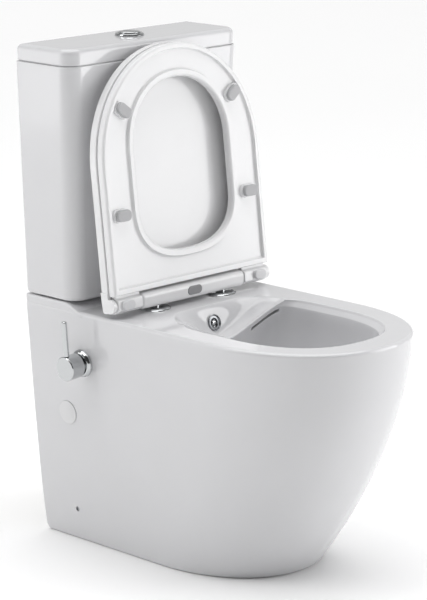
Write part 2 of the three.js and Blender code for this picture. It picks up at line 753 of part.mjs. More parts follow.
const hinge = new THREE.Group();
hinge.position.set(0, -HINGE_D, HINGE_Z);
hinge.add(
  piece("hinge_bar", makeHingeBar(), seatPlastic()),
  piece("release_button", solid(makeReleaseButton()), finish(0x8f8f91, 0.5)),
);
for (const { side, word } of sides) {
  const [from, to] = side > 0 ? [BAR_HALF - 29, EAR.to - 3.2] : [3.2 - EAR.to, 29 - BAR_HALF];
  hinge.add(piece(`damper_pin_${word}`, solid(knuckle(from, to, DAMPER_RADIUS)), whitePlastic()));
}

const posts = new THREE.Group();
const couplings = new THREE.Group();
const fixings = new THREE.Group();
for (const { side, word } of sides) {
  const post = new THREE.Group();
  post.position.set(side * POST.x, -POST.d, 0);
  post.add(
    piece(`hinge_disc_${word}`, solid(moved(makeDisc(), 0, 0, RIM_Z + GAP)), chrome()),
    piece(`hinge_bolt_${word}`, solid(rod(4, 338, 410, 14)), steel()),
    piece(`hinge_washer_${word}`, solid(sleeve(15, 4.4, 381, DECK_UNDER - GAP, 20)), blackRubber()),
    piece(`hinge_wing_nut_${word}`, makeWingNut(4.3, 13).translate([0, 0, 367.5]), whitePlastic()),
  );
  posts.add(post);

  const coupling = new THREE.Group();
  coupling.position.set(side * COUPLING.x, -COUPLING.d, 0);
  const bolt = join(solid(rod(4, 352, 430, 14)), solid(rod(9, 426.8, 431.5, 6)));
  coupling.add(
    piece(`coupling_bolt_${word}`, bolt, brass()),
    piece(`coupling_washer_${word}`, solid(sleeve(14, 4.4, 423.4, 426.4, 20)), blackRubber()),
    piece(`coupling_wing_nut_${word}`, makeWingNut(4.3, 13).translate([0, 0, 372.5]), brass()),
  );
  couplings.add(coupling);

  const { d, z } = SIDE_FIXING;
  const angle = join(
    solid(block(118, 125, -18, 18, 0, 72)),
    solid(block(82, 125, -18, 18, 0, 5)),
  );
  const bracket = cut(
    side > 0 ? angle : angle.mirror([1, 0, 0]),
    solid(rod(3.1, -20, 20, 14).rotateY(Math.PI / 2).translate(side * 121, 0, z)),
    solid(rod(4.5, -2, 8, 14).translate(side * 98, 0, 0)),
  );
  const screw = turned([[0, 110], [2.75, 110], [2.75, 139.5], [4.1, 143], [4.1, 145.4], [0, 145.4]], 14)
    .rotateY((side * Math.PI) / 2)
    .translate(0, 0, z);
  const fixing = new THREE.Group();
  fixing.position.y = -d;
  fixing.add(
    piece(`floor_bracket_${word}`, bracket, whitePlastic()),
    piece(`side_screw_${word}`, solid(screw), steel()),
  );
  fixings.add(fixing);
}

const button = new THREE.Group();
button.position.set(0, -BUTTON_D, 0);
button.add(
  piece("button_bezel", solid(makeBezel()), chrome()),
  piece("button_nut", nut(26, 19.6, 802, TOP_Z - 9 - GAP, 8), whitePlastic()),
  piece("button_full", solid(makeHalfButton(1)), chrome()),
  piece("button_half", solid(makeHalfButton(-1)), chrome()),
);
const valve = new THREE.Group();
valve.position.set(0, -FLUSH.d, 0);
valve.add(
  piece("push_rod_full", solid(makePushRod(1)), whitePlastic()),
  piece("push_rod_half", solid(makePushRod(-1)), whitePlastic()),
  piece("flush_valve_body", makeFlushBody(), whitePlastic()),
  piece("flush_valve_lift", solid(makeFlushLift()), bluePlastic()),
  piece("flush_valve_nut", nut(40, 30, 404, CISTERN_Z - GAP - 0.1, 12), whitePlastic()),
  piece("coupling_gasket", solid(sleeve(53, 41.5, 401.4, CISTERN_Z - GAP - 0.1, 24)), blackRubber()),
);
const filler = new THREE.Group();
filler.position.set(FILL.x, -FILL.d, 0);
filler.add(
  piece("fill_valve_tower", solid(makeFillTower()), whitePlastic()),
  piece("fill_valve_float", solid(makeFillFloat()), bluePlastic()),
  piece("fill_valve_nut", nut(17, 10.2, 404, CISTERN_Z - GAP - 0.1, 6), whitePlastic()),
);

const mixer = onWall(MIXER.d, MIXER.z);
const lever = rod(4.4, 0, 58, 18).rotateY(Math.PI / 2).translate(20.3, 0, 33.4);
mixer.add(
  piece("mixer_flange", solid(makeMixerFlange()), chrome()),
  piece("mixer_body", solid(makeMixerBody()), chrome()),
  piece("mixer_handle", solid(makeMixerHandle()), chrome()),
  piece("mixer_lever", solid(lever), chrome()),
  piece("mixer_back_nut", makeBackNut(), brass()),
  piece("mixer_inlet", solid(rod(6, 15.9, 44, 14).rotateY(-Math.PI / 2).translate(0, 0, -30)), brass()),
);

const blank = onWall(BLANK.d, BLANK.z);
const capProfile = [[0, -11], [16.6, -11], [16.6, 0.5], [20, 0.5], [19.6, 1.4], [12, 2], [0, 2.2]];
blank.add(piece("blank_cap", solid(turned(capProfile, ROUND_SHOWN)), finish(0xeeeeef, 0.2)));

const jet = onJet();
const bezelProfile = [
  [5.8, -44], [8, -44], [8, -2.2], [13.6, -2.2], [13.6, -0.4], [13, 0.2], [12.2, 0], [9.6, -5], [6.4, -7],
  [5.8, -8], [5.8, -44],
];
jet.add(
  piece("nozzle_bezel", solid(turned(bezelProfile, 20)), chrome()),
  piece("nozzle_nut", nut(13, 8.4, -22.5, -16.4, 6), brass()),
);
const jetProfile = [[1, -30], [5.4, -30], [5.4, -8], [4, -7], [4, -2.4], [3, -1.4], [1, -1.4], [1, -30]];
jet.add(piece("nozzle_jet", solid(turned(jetProfile, 14)), chrome()));

const hose = piece("nozzle_hose", solid(tube(HOSE_PATH, 5, 16, 10)), braid());

toilet.add(ceramics, seat, hinge, posts, couplings, fixings, button, valve, filler, mixer, blank, jet, hose);

export default toilet;
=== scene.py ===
# A close-coupled toilet with a bidet jet: fine ceramic, seat and metal pieces round the fixed frame.
# Pieces are drawn in millimetres from the wall: x across, y = -(distance from the wall), z over the floor.
import json
import math

import bmesh
import bpy
from mathutils import Matrix, Vector


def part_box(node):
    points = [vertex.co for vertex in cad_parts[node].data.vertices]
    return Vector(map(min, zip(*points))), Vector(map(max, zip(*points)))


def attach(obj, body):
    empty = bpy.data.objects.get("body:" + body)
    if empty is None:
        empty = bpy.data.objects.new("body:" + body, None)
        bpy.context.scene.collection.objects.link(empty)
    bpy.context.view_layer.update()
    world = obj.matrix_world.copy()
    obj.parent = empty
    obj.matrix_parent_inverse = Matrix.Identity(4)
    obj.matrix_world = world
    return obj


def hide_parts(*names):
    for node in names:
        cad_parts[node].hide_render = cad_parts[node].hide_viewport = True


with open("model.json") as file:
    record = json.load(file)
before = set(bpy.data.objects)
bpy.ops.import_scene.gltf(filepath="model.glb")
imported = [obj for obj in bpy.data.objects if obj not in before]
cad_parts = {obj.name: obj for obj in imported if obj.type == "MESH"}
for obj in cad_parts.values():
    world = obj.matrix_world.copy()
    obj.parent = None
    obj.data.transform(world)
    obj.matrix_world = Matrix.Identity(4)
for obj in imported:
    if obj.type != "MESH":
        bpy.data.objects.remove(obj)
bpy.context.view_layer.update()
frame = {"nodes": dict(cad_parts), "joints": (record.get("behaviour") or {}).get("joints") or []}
JOINTS = {joint["name"]: joint for joint in frame["joints"]}

MM = 0.001
WALL_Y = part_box("pan")[1].y
HINGE = Vector(JOINTS["lid_hinge"]["pos_m"])
RAISED = math.radians(JOINTS["lid_hinge"]["range_deg"][1])
SIDES = (("left", -1), ("right", 1))

FROM_WALL = Matrix.Translation((0, WALL_Y, 0)) @ Matrix.Scale(MM, 4)
AT_HINGE = Matrix.Translation(HINGE) @ Matrix.Scale(MM, 4)
ON_SEAT = Matrix.Translation(HINGE) @ Matrix.Rotation(-RAISED, 4, "X") @ Matrix.Scale(MM, 4)


# ---- Numbers ----
def mix(a, b, share):
    return a + (b - a) * share


def clamp01(value):
    return min(1.0, max(0.0, value))


def smooth(share):
    return share * share * (3 - 2 * share)


def sgn_power(value, power):
    return math.copysign(abs(value) ** power, value)


def spread(start, end, count):
    """count + 1 evenly spaced numbers from start to end."""
    return [mix(start, end, i / count) for i in range(count + 1)]


def eased(points, steps=5):
    """A polyline of (u, v) or (u, v, radius) points with its corners turned to short curves."""
    bare = [Vector(p[:2]) for p in points]
    count = len(points)
    line = []
    for i, point in enumerate(points):
        radius = point[2] if len(point) > 2 else 0
        if not radius or i in (0, count - 1):
            line.append(tuple(bare[i]))
            continue
        back, on = bare[i - 1] - bare[i], bare[i + 1] - bare[i]
        turn = back.angle(on, math.pi)
        reach = min(radius / math.tan(turn / 2), back.length * 0.48, on.length * 0.48)
        a, b = bare[i] + back.normalized() * reach, bare[i] + on.normalized() * reach
        for share in spread(0, 1, steps):
            line.append(tuple(a.lerp(bare[i], share).lerp(bare[i].lerp(b, share), share)))
    return line


def edge_arc(radius, steps=6):
    """(height, inset) pairs up a rounded lower edge, from the flat face to the side."""
    turns = spread(0, math.pi / 2, steps)
    return [(radius * (1 - math.cos(t)), radius * (1 - math.sin(t))) for t in turns]


# ---- Meshes ----
def made(name, corners, faces, place=FROM_WALL):
    mesh = bpy.data.meshes.new(name)
    mesh.from_pydata([place @ Vector(c) for c in corners], [], faces)
    work = bmesh.new()
    work.from_mesh(mesh)
    bmesh.ops.recalc_face_normals(work, faces=work.faces)
    work.to_mesh(mesh)
    work.free()
    obj = bpy.data.objects.new(name, mesh)
    bpy.context.scene.collection.objects.link(obj)
    return obj


def loft(name, sections, place=FROM_WALL):
    """A closed skin over sections with the same number of points."""
    count = len(sections[0])
    corners = [point for section in sections for point in section]
    faces = [tuple(range(count)), tuple(range(len(corners) - count, len(corners)))]
    for s in range(len(sections) - 1):
        for i in range(count):
            a, b = s * count + i, s * count + (i + 1) % count
            faces.append((a, b, b + count, a + count))
    return made(name, corners, faces, place)


def turned(name, profile, place=FROM_WALL, sides=72):
    """A piece turned about z from (radius, height) points that start and end on the axis or on each other."""
    ring = profile[0] == profile[-1]
    points = profile[:-1] if ring else profile
    corners, rows = [], []
    for radius, height in points:
        first = len(corners)
        if radius < 1e-6:
            corners.append((0, 0, height))
            rows.append([first] * sides)
            continue
        for i in range(sides):
            turn = 2 * math.pi * i / sides
            corners.append((radius * math.cos(turn), radius * math.sin(turn), height))
        rows.append(list(range(first, first + sides)))
    pairs = list(zip(rows, rows[1:])) + ([(rows[-1], rows[0])] if ring else [])
    faces = []
    for low, high in pairs:
        for i in range(sides):
            j = (i + 1) % sides
            face = list(dict.fromkeys((low[i], low[j], high[j], high[i])))
            if len(face) > 2:
                faces.append(face)
    return made(name, corners, faces, place)


def rod(name, radius, start, end, place=FROM_WALL):
    return turned(name, [(0, start), (radius, start), (radius, end), (0, end)], place, 64)


def block(name, x, y, z):
    section = [(x[0], y[0]), (x[1], y[0]), (x[1], y[1]), (x[0], y[1])]
    return loft(name, [[(a, b, level) for a, b in section] for level in z])


def curve_through(points, steps):
    """Points and directions along a smooth curve through the given ones."""
    knots = [Vector(p) for p in points]
    padded = [2 * knots[0] - knots[1], *knots, 2 * knots[-1] - knots[-2]]
    spots = []
    for share in spread(0, len(knots) - 1, steps):
        i = min(int(share), len(knots) - 2)
        t = share - i
        a, b, c, d = padded[i:i + 4]
        spot = 0.5 * (2 * b + (c - a) * t + (2 * a - 5 * b + 4 * c - d) * t**2 + (3 * (b - c) + d - a) * t**3)
        way = 0.5 * ((c - a) + 2 * (2 * a - 5 * b + 4 * c - d) * t + 3 * (3 * (b - c) + d - a) * t**2)
        spots.append((spot, way.normalized()))
    return spots


def tube(name, points, radius, steps=60, sides=40):
    sections = []
    side = Vector((1, 0, 0))
    for spot, way in curve_through(points, steps):
        side = (side - way * side.dot(way)).normalized()
        up = way.cross(side)
        turns = [2 * math.pi * i / sides for i in range(sides)]
        sections.append([spot + radius * (math.cos(t) * side + math.sin(t) * up) for t in turns])
    return loft(name, sections)


def combine(base, operation, tools):
    """Joins the tools to the base or cuts them out of it, and takes them away."""
    for tool in tools:
        change = base.modifiers.new(tool.name, "BOOLEAN")
        change.operation = operation
        change.solver = "MANIFOLD"
        change.object = tool
    result = bpy.data.meshes.new_from_object(base.evaluated_get(bpy.context.evaluated_depsgraph_get()))
    base.modifiers.clear()
    base.data = result
    for tool in tools:
        bpy.data.objects.remove(tool)
    return base


def cut(base, *tools):
    return combine(base, "DIFFERENCE", tools)


def join(base, *tools):
    return combine(base, "UNION", tools)


def rounded_outline(width, height, radius, inset=0.0, steps=8):
    """A rectangle's outline with round corners, pulled in all round by inset."""
    x, y = width / 2 - radius, height / 2 - radius
    arc = max(radius - inset, 0.05)
    points = []
    for quarter, (cx, cy) in enumerate(((x, y), (-x, y), (-x, -y), (x, -y))):
        for turn in spread(quarter * math.pi / 2, (quarter + 1) * math.pi / 2, steps):
            points.append((cx + arc * math.cos(turn), cy + arc * math.sin(turn)))
    return points


def pad(name, width, height, radius, depth, edge, place):
    """A rounded block along z from 0 to depth with its free edge eased."""
    levels = [(0, 0), *[(depth - rise, inset) for rise, inset in reversed(edge_arc(edge))]]
    sections = [
        [(x, y, z) for x, y in rounded_outline(width, height, radius, inset)] for z, inset in levels
    ]
    return loft(name, sections, place)


def shown(obj, name, body, slot, *finishes, nodes):
    """Names a finished piece, smooths it, gives it its finish, and lets it ride on its body."""
    obj.name = name
    mesh = obj.data
    mesh.name = name
    mesh.materials.clear()
    for made_of in finishes:
        mesh.materials.append(made_of)
    mesh.shade_smooth()
    mesh.set_sharp_from_angle(angle=math.radians(30))
    even = obj.modifiers.new("even_faces", "WEIGHTED_NORMAL")
    even.keep_sharp = True
    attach(obj, body)
    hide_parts(*nodes)
    return obj


# ---- Finishes ----
def linear(code):
    """An sRGB hex code as linear colour."""
    values = [int(code[i:i + 2], 16) / 255 for i in (1, 3, 5)]
    return tuple(v / 12.92 if v <= 0.04045 else ((v + 0.055) / 1.055) ** 2.4 for v in values) + (1.0,)


def add(tree, kind, links=(), **settings):
    """Adds a node: settings are its properties or, with spaces as underscores, its inputs."""
    node = tree.nodes.new(kind)
    for key, value in settings.items():
        if hasattr(node, key):
            setattr(node, key, value)
        else:
            node.inputs[key.replace("_", " ")].default_value = value
    for socket, source in dict(links).items():
        tree.links.new(source, node.inputs[socket])
    return node


def new_finish(name, **shader):
    material = bpy.data.materials.new(name)
    material.use_nodes = True
    tree = material.node_tree
    tree.nodes.clear()
    body = add(tree, "ShaderNodeBsdfPrincipled", **shader)
    add(tree, "ShaderNodeOutputMaterial", {"Surface": body.outputs[0]})
    spot = add(tree, "ShaderNodeTexCoord").outputs["Object"]
    return material, tree, body, spot


def per_metre(size_mm):
    """A pattern scale whose features are about size_mm across."""
    return 1000 / size_mm


def glazed_china():
    # Vitreous china, cast, glazed and fired: a deep gloss whose skin is never quite level, over a body
    # that is a trace warmer where the glaze lies thinner.
    material, tree, body, spot = new_finish(
        "glazed_vitreous_china", Roughness=0.09, IOR=1.52, Specular_IOR_Level=0.5,
        Coat_Weight=0.35, Coat_Roughness=0.03,
    )
    pool = add(tree, "ShaderNodeTexNoise", {"Vector": spot}, Scale=per_metre(90), Detail=2.0)
    tint = add(tree, "ShaderNodeMix", {0: pool.outputs[0]}, data_type="RGBA")
    tint.inputs[6].default_value = linear("#dadadc")
    tint.inputs[7].default_value = linear("#d6d6d8")
    tree.links.new(tint.outputs[2], body.inputs["Base Color"])
    peel = add(tree, "ShaderNodeTexNoise", {"Vector": spot}, Scale=per_metre(22), Detail=1.0)
    skin = add(tree, "ShaderNodeBump", {"Height": peel.outputs[0]}, Strength=0.05, Distance=0.002)
    tree.links.new(skin.outputs[0], body.inputs["Normal"])
    return material


def biscuit_china():
    # The same clay where no glaze was sprayed, in the hollow behind: matt, chalky and slightly grainy.
    material, tree, body, spot = new_finish("unglazed_china_body", Roughness=0.78, IOR=1.5)
    cloud = add(tree, "ShaderNodeTexNoise", {"Vector": spot}, Scale=per_metre(40), Detail=4.0)
    tint = add(tree, "ShaderNodeMix", {0: cloud.outputs[0]}, data_type="RGBA")
    tint.inputs[6].default_value = linear("#ece9e3")
    tint.inputs[7].default_value = linear("#dedad1")
    tree.links.new(tint.outputs[2], body.inputs["Base Color"])
    grain = add(tree, "ShaderNodeTexNoise", {"Vector": spot}, Scale=per_metre(1.6), Detail=2.0)
    skin = add(tree, "ShaderNodeBump", {"Height": grain.outputs[0]}, Strength=0.25, Distance=0.0004)
    tree.links.new(skin.outputs[0], body.inputs["Normal"])
    return material


def moulded(name, light, dark, gloss, grain_mm, grain_depth):
    """A moulded plastic or rubber: two near shades in soft clouds, under a skin of the mould's grain."""
    material, tree, body, spot = new_finish(name, Roughness=gloss, IOR=1.5)
    cloud = add(tree, "ShaderNodeTexNoise", {"Vector": spot}, Scale=per_metre(60), Detail=3.0)
    tint = add(tree, "ShaderNodeMix", {0: cloud.outputs[0]}, data_type="RGBA")
    tint.inputs[6].default_value = linear(light)
    tint.inputs[7].default_value = linear(dark)
    tree.links.new(tint.outputs[2], body.inputs["Base Color"])
    grain = add(tree, "ShaderNodeTexNoise", {"Vector": spot}, Scale=per_metre(grain_mm), Detail=2.0)
    skin = add(tree, "ShaderNodeBump", {"Height": grain.outputs[0]}, Strength=grain_depth, Distance=0.0005)
    tree.links.new(skin.outputs[0], body.inputs["Normal"])
    return material


def bright_metal(name, colour, low, high):
    """A plated or machined metal whose roughness drifts a little, as wiped metal does."""
    material, tree, body, spot = new_finish(name, Metallic=1.0, Base_Color=linear(colour))
    wipe = add(tree, "ShaderNodeTexNoise", {"Vector": spot}, Scale=per_metre(18), Detail=3.0)
    drift = add(tree, "ShaderNodeMapRange", {"Value": wipe.outputs[0]}, To_Min=low, To_Max=high)
    tree.links.new(drift.outputs[0], body.inputs["Roughness"])
    return material


def steel_braid():
    # Stainless wire woven round a hose: crossing strands about 1.5 mm wide.
    material, tree, body, spot = new_finish(
        "woven_steel_braid", Metallic=1.0, Roughness=0.32, Base_Color=linear("#b9bbbf")
    )
    strands = []
    for lean in (1, -1):
        turned_spot = add(
            tree, "ShaderNodeMapping", {"Vector": spot}, Rotation=(lean * 0.7, lean * 0.7, 0.6)
        )
        strands.append(
            add(tree, "ShaderNodeTexWave", {"Vector": turned_spot.outputs[0]}, Scale=per_metre(1.5) / 6)
        )
    crossing = {0: strands[0].outputs[1], 1: strands[1].outputs[1]}
    weave = add(tree, "ShaderNodeMath", crossing, operation="MAXIMUM")
    skin = add(tree, "ShaderNodeBump", {"Height": weave.outputs[0]}, Strength=0.6, Distance=0.0004)
    tree.links.new(skin.outputs[0], body.inputs["Normal"])
    return material


CHINA = glazed_china()
BISCUIT = biscuit_china()
# Duroplast is pressed hot, so it is dense and glassy with a faint ripple.
DUROPLAST = moulded("moulded_duroplast", "#ededee", "#e9e9ea", 0.13, 14, 0.04)
# Soft buffers and pads are moulded in a dull grey that scatters the light.
BUFFER_GREY = moulded("soft_grey_elastomer", "#bdbdbf", "#b1b1b3", 0.55, 0.9, 0.15)
RELEASE_GREY = moulded("satin_grey_abs", "#939395", "#8a8a8c", 0.38, 0.8, 0.12)
CAP_WHITE = moulded("gloss_white_abs", "#dededf", "#dadadb", 0.16, 12, 0.03)
PALE_PAD = moulded("soft_pale_elastomer", "#dcdcde", "#d2d2d4", 0.5, 0.9, 0.15)
WHITE_ACETAL = moulded("natural_white_acetal", "#e9e9e6", "#dededb", 0.42, 1.2, 0.12)
BLUE_ACETAL = moulded("pale_blue_polypropylene", "#a8bccd", "#98adc0", 0.42, 1.2, 0.12)
BLACK_RUBBER = moulded("black_nitrile_rubber", "#2b2b2d", "#222224", 0.7, 0.7, 0.3)
# Chrome over brass or plastic is polished before plating: a near perfect mirror with a cold tone.
CHROME = bright_metal("polished_chrome_plate", "#c2c4c5", 0.03, 0.075)
# The jet's bezel is the same plated metal as the chrome, with its colour made darker as painted shade for the
# dim reflections in its deep funnel, and a softer roughness.
CHROME_DARKENED_AS_SHADE = bright_metal("chrome_darkened_as_painted_shade", "#8e9093", 0.14, 0.24)
BRASS = bright_metal("machined_brass", "#c9a765", 0.2, 0.34)
ZINC_STEEL = bright_metal("zinc_plated_steel", "#b4b7ba", 0.25, 0.42)
BRAID = steel_braid()


# ---- Pan: skirt, deck, bowl and landing ----
CERAMIC = 13
RIM_Z = 400
RIM_EDGE = 6
DECK_UNDER = 386
NOSE_POWER = 2.12
PLATFORM_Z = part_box("pan")[1].z / MM
SLOPE = (90, 132)
JET = {"d": 256, "z": 373.5, "tilt": math.radians(15)}
MIXER = {"d": 127, "z": 315.3}
BLANK = {"d": 81.5, "z": 223}
SIDE_FIXING = {"d": 83, "z": 54.5}
FLUSH_D = 60
BUTTON_D = 63
FILL = (-128, 58)
COUPLING = (78, 60)
POST = (75, 194)
LIP_RADIUS = 3
LANDING = {"back": 238, "floor_at": 264, "end": 302, "depth": 46, "half": 74, "gain": 48}


def half_width(z):
    return 139.5 + 38 * (max(z, 0) / RIM_Z) ** 0.72


def pan_length(z):
    return 448 + 173.8 * (1 - max(1 - z / RIM_Z, 0) ** 1.76)


def nose_depth(z):
    return mix(178, 215, clamp01(z / RIM_Z))


def pan_outline(z, inset, back, steps=80):
    half, nose = half_width(z) - inset, nose_depth(z)
    start = pan_length(z) - inset - nose
    points = [(-half, y, z) for y in spread(back, -start, 6)[:-1]]
    for turn in spread(0, math.pi, steps):
        x = -half * sgn_power(math.cos(turn), 2 / NOSE_POWER)
        points.append((x, -start - nose * max(math.sin(turn), 0) ** (2 / NOSE_POWER), z))
    return points + [(half, y, z) for y in spread(-start, back, 6)[1:]]


def pan_skirt():
    foot = [(z, inset) for z, inset in edge_arc(3)]
    walls = [(z, 0) for z in spread(8, RIM_Z - RIM_EDGE - 4, 38)]
    rim = [(RIM_Z - rise, inset) for rise, inset in reversed(edge_arc(RIM_EDGE, 10))]
    sections = [pan_outline(z, inset, min(0, (z - 8) * 5 / 8)) for z, inset in [*foot, *walls, *rim]]
    return loft("pan", sections)


def pan_hollow():
    levels = spread(-1, DECK_UNDER, 26)
    return loft("hollow", [
        [(x, y, z) for x, y, _ in pan_outline(max(z, 0), CERAMIC, 2, 40)] for z in levels
    ])


def platform():
    half = half_width(RIM_Z)
    sections = []
    for d in [0, *spread(SLOPE[0] - 8, SLOPE[1], 24)]:
        fall = smooth(clamp01((d - SLOPE[0]) / (SLOPE[1] - SLOPE[0])))
        top = mix(PLATFORM_Z, RIM_Z - 2, fall)
        right = [(half - 2, DECK_UNDER + 4), (half, top - 6), (half, top, 6), (half - 8, top)]
        line = eased(right, 8)
        left = [(-x, z) for x, z in reversed(line)]
        sections.append([(x, -d, z) for x, z in line + left])
    return loft("platform", sections)


# The bowl from its sump to under its rim: height, half width, front and rear from the wall, squareness
# of the rear end.
BOWL = (
    (88, 24, 372, 318, 2.3),
    (92, 31, 381, 309, 2.4),
    (100, 38, 392, 302, 2.4),
    (120, 44, 405, 298, 2.4),
    (170, 62, 440, 294, 2.6),
    (230, 86, 488, 290, 3.0),
    (290, 105, 526, 288, 3.8),
    (345, 117, 552, 288, 5.0),
    (386, 121, 562, 290, 6.0),
)
BOWL_WIDEST = 0.42


def bowl_at(z):
    """The bowl's half width, front, rear and squareness at a height, on a smooth curve between its levels."""
    i = next((k for k in range(len(BOWL) - 2) if z < BOWL[k + 1][0]), len(BOWL) - 2)
    low, high = BOWL[i], BOWL[i + 1]
    before, after = BOWL[max(i - 1, 0)], BOWL[min(i + 2, len(BOWL) - 1)]
    run = high[0] - low[0]
    t = (z - low[0]) / run
    values = []
    for k in range(1, 5):
        slope_low = (high[k] - before[k]) / (high[0] - before[0]) * run
        slope_high = (after[k] - low[k]) / (after[0] - low[0]) * run
        values.append(
            (2 * t**3 - 3 * t**2 + 1) * low[k] + (t**3 - 2 * t**2 + t) * slope_low
            + (3 * t**2 - 2 * t**3) * high[k] + (t**3 - t**2) * slope_high
        )
    return values


def oval(half, front, rear, square, grow, z, steps=112):
    middle = mix(rear, front, BOWL_WIDEST)
    points = []
    for i in range(steps):
        turn = 2 * math.pi * i / steps
        ahead = math.sin(turn) < 0
        power = 2.4 if ahead else square
        reach = (front - middle if ahead else middle - rear) + grow
        x = (half + grow) * sgn_power(math.cos(turn), 2 / power)
        points.append((x, -middle + reach * sgn_power(math.sin(turn), 2 / power), z))
    return points


def bowl_hollow():
    sections = [oval(*bowl_at(z), 0, z) for z in spread(BOWL[0][0], DECK_UNDER, 60)]
    half, front, rear, square = BOWL[-1][1:]
    # The rimless edge: a narrow step, a sloping band, and a soft roll on to the flat rim.
    edge = eased([(386, 0), (389, 1, 1.6), (396, 7.5, 1.6), (399.2, 9.6, 2.5), (400.2, 13.5), (403, 13.5)], 4)
    for z, grow in edge[1:]:
        sections.append(oval(half + grow, front + grow, rear + grow * 2 / 13.5, square, 0, z))
    return loft("bowl", sections)


def bowl_shell():
    sections = []
    for z in spread(BOWL[0][0], DECK_UNDER - 4, 30):
        half, front, rear, square = bowl_at(max(z, 100))
        sections.append(oval(half, front, rear, square, CERAMIC, z - CERAMIC * (1 - z / RIM_Z), 56))
    sections.append(oval(*BOWL[-1][1:], CERAMIC, DECK_UNDER + 6, 56))
    return loft("bowl_shell", sections)


def landing_half(d):
    out = clamp01((d - LANDING["back"]) / (LANDING["end"] - 10 - LANDING["back"]))
    return LANDING["half"] + LANDING["gain"] * out**0.8


def landing_z(x, d):
    run = clamp01((d - LANDING["back"]) / (LANDING["floor_at"] - LANDING["back"]))
    fall = 1 - min(abs(x) / landing_half(d), 1) ** 1.25
    return RIM_Z - LANDING["depth"] * smooth(run) * fall**2 * 1.06 / (fall + 0.06)


def landing(name, grow, steps=44, columns=60):
    top = RIM_Z + 2 if grow == 0 else DECK_UNDER + 5
    sections = []
    for d in spread(LANDING["back"] + 0.3, LANDING["end"], steps):
        half = landing_half(d)
        line = []
        for share in spread(-1, 1, columns):
            x = half * share
            line.append((x * (1 + grow / half), -(d - grow), landing_z(x, d) - grow))
        sections.append([*line, (half + grow, -(d - grow), top), (-half - grow, -(d - grow), top)])
    return loft(name, sections)


def flush_slot(side, back, front, height):
    sections = []
    for x in spread(50, 104, 12):
        top = landing_z(x, 286) - 9
        low = max(316, top - height)
        corners = ((back, low), (front, low), (front, top), (back, top))
        sections.append([(side * x, -d, z) for d, z in corners])
    return loft("slot", sections)


def lip_rounding():
    """Takes the sharp corner off the landing's lip, where its floor ends over the bowl."""
    rear = BOWL[-1][3]
    sections = []
    for x in spread(-104, 104, 60):
        level = landing_z(x, rear + 1)
        wide, ahead, behind, square = bowl_at(level)
        reach = mix(behind, ahead, BOWL_WIDEST) - behind
        edge = behind + reach * (1 - (1 - min(abs(x) / wide, 0.999) ** square) ** (1 / square))
        r = LIP_RADIUS * clamp01((108 - abs(x)) / 20)
        arc = [
            (edge - r + r * math.sin(t), level - r + r * math.cos(t)) for t in spread(0, math.pi / 2, 6)
        ]
        ring = [*arc, (edge + 6, level - r), (edge + 6, level + 6), (edge - r, level + 6)]
        sections.append([(x, -d, z) for d, z in ring])
    return loft("lip_rounding", sections)


TRAP = (
    (0, -350, 112), (0, -290, 126), (0, -238, 178), (0, -192, 224), (0, -142, 222), (0, -92, 190),
    (0, -50, 180), (0, -12, 180),
)
TRAP_SPOTS = curve_through(TRAP, 60)
DUCT = (
    (0, -60, 398), (0, -60, 372), (0, -76, 342), (0, -115, 322), (0, -165, 313), (0, -215, 312),
    (0, -262, 318),
)


def wall_frame(d, z):
    """A frame on the pan's left wall, in millimetres, with +z straight out of the ceramic and +x up it."""
    lean = math.atan((half_width(z + 5) - half_width(z - 5)) / 10)
    turn = Matrix.Rotation(-math.pi / 2 - lean, 4, "Y")
    return FROM_WALL @ Matrix.Translation((-half_width(z), -d, z)) @ turn


def jet_frame():
    spot = Matrix.Translation((0, -JET["d"], JET["z"]))
    return FROM_WALL @ spot @ Matrix.Rotation(math.pi / 2 - JET["tilt"], 4, "X")


def at(x, d, z=0):
    return FROM_WALL @ Matrix.Translation((x, -d, z))


def in_trap(spot):
    return abs(spot.x) < 38 and any((spot - middle).length < 38 for middle, _ in TRAP_SPOTS)


def is_raw(centre):
    """True on the faces of the hollow behind the bowl, which no glaze reaches."""
    x, y, z = centre.x / MM, (centre.y - WALL_Y) / MM, centre.z / MM
    d = -y
    if z > DECK_UNDER + 0.5 or z < 0.5 or d < 1.5 or in_trap(Vector((x, y, z))):
        return False
    half, nose = half_width(z) - 7, nose_depth(z)
    start = pan_length(z) - 7 - nose
    ahead = max(d - start, 0) / nose
    if (abs(x) / half) ** NOSE_POWER + ahead**NOSE_POWER > 1:
        return False
    if z < BOWL[0][0]:
        return True
    wide, front, rear, square = bowl_at(z)
    middle = mix(rear, front, BOWL_WIDEST)
    reach, power = (front - middle, 2.4) if d > middle else (middle - rear, square)
    in_bowl = (abs(x) / (wide + 4)) ** power + (abs(d - middle) / (reach + 4)) ** power < 1
    under_lip = 237 < d < 302 and z > 298 and abs(x) < 120
    return not in_bowl and not under_lip


